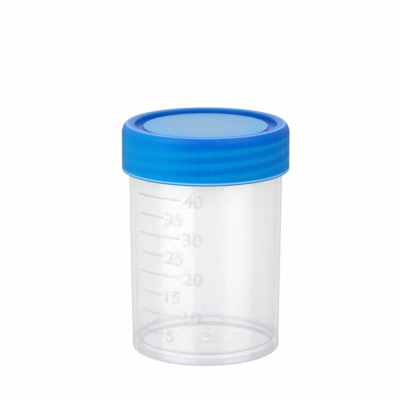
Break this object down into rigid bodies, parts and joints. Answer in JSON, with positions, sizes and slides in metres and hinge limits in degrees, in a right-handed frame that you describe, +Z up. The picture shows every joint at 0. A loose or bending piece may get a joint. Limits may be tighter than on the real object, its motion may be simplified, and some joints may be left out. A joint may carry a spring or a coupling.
{
  "type": "specimen container",
  "caption": "Round graduated screw-cap specimen container with a drafted translucent body, fluted cap, recessed lid panel and seal liner.",
  "frame": {"origin": "centre of the foot ring, in the plane that the container stands on", "axes": "+Z up along the axis of the container and cap; -Y is the front, with the graduation marks to the left of it; +X is to the right"},
  "size_m": [0.042, 0.042, 0.058],
  "materials": {
    "natural_polypropylene": "satin",
    "blue_polypropylene": "satin",
    "white_foam": "matte"
  },
  "bodies": {
    "container": {"container": "natural_polypropylene"},
    "seal_liner": {"seal_liner": "white_foam"},
    "cap": {"cap": "blue_polypropylene"}
  },
  "joints": [
    {"name": "cap_rise", "type": "slide", "parent": "container", "child": "seal_liner", "axis": [0, 0, 1], "range_m": [0, 0.009]},
    {"name": "cap_turn", "type": "hinge", "parent": "seal_liner", "child": "cap", "pos_m": [0, 0, 0.052], "axis": [0, 0, 1], "range_deg": [0, 540]}
  ],
  "couplings": [
    {"joint": "cap_rise", "follows": "cap_turn", "m_per_rad": 0.00095493}
  ]
}
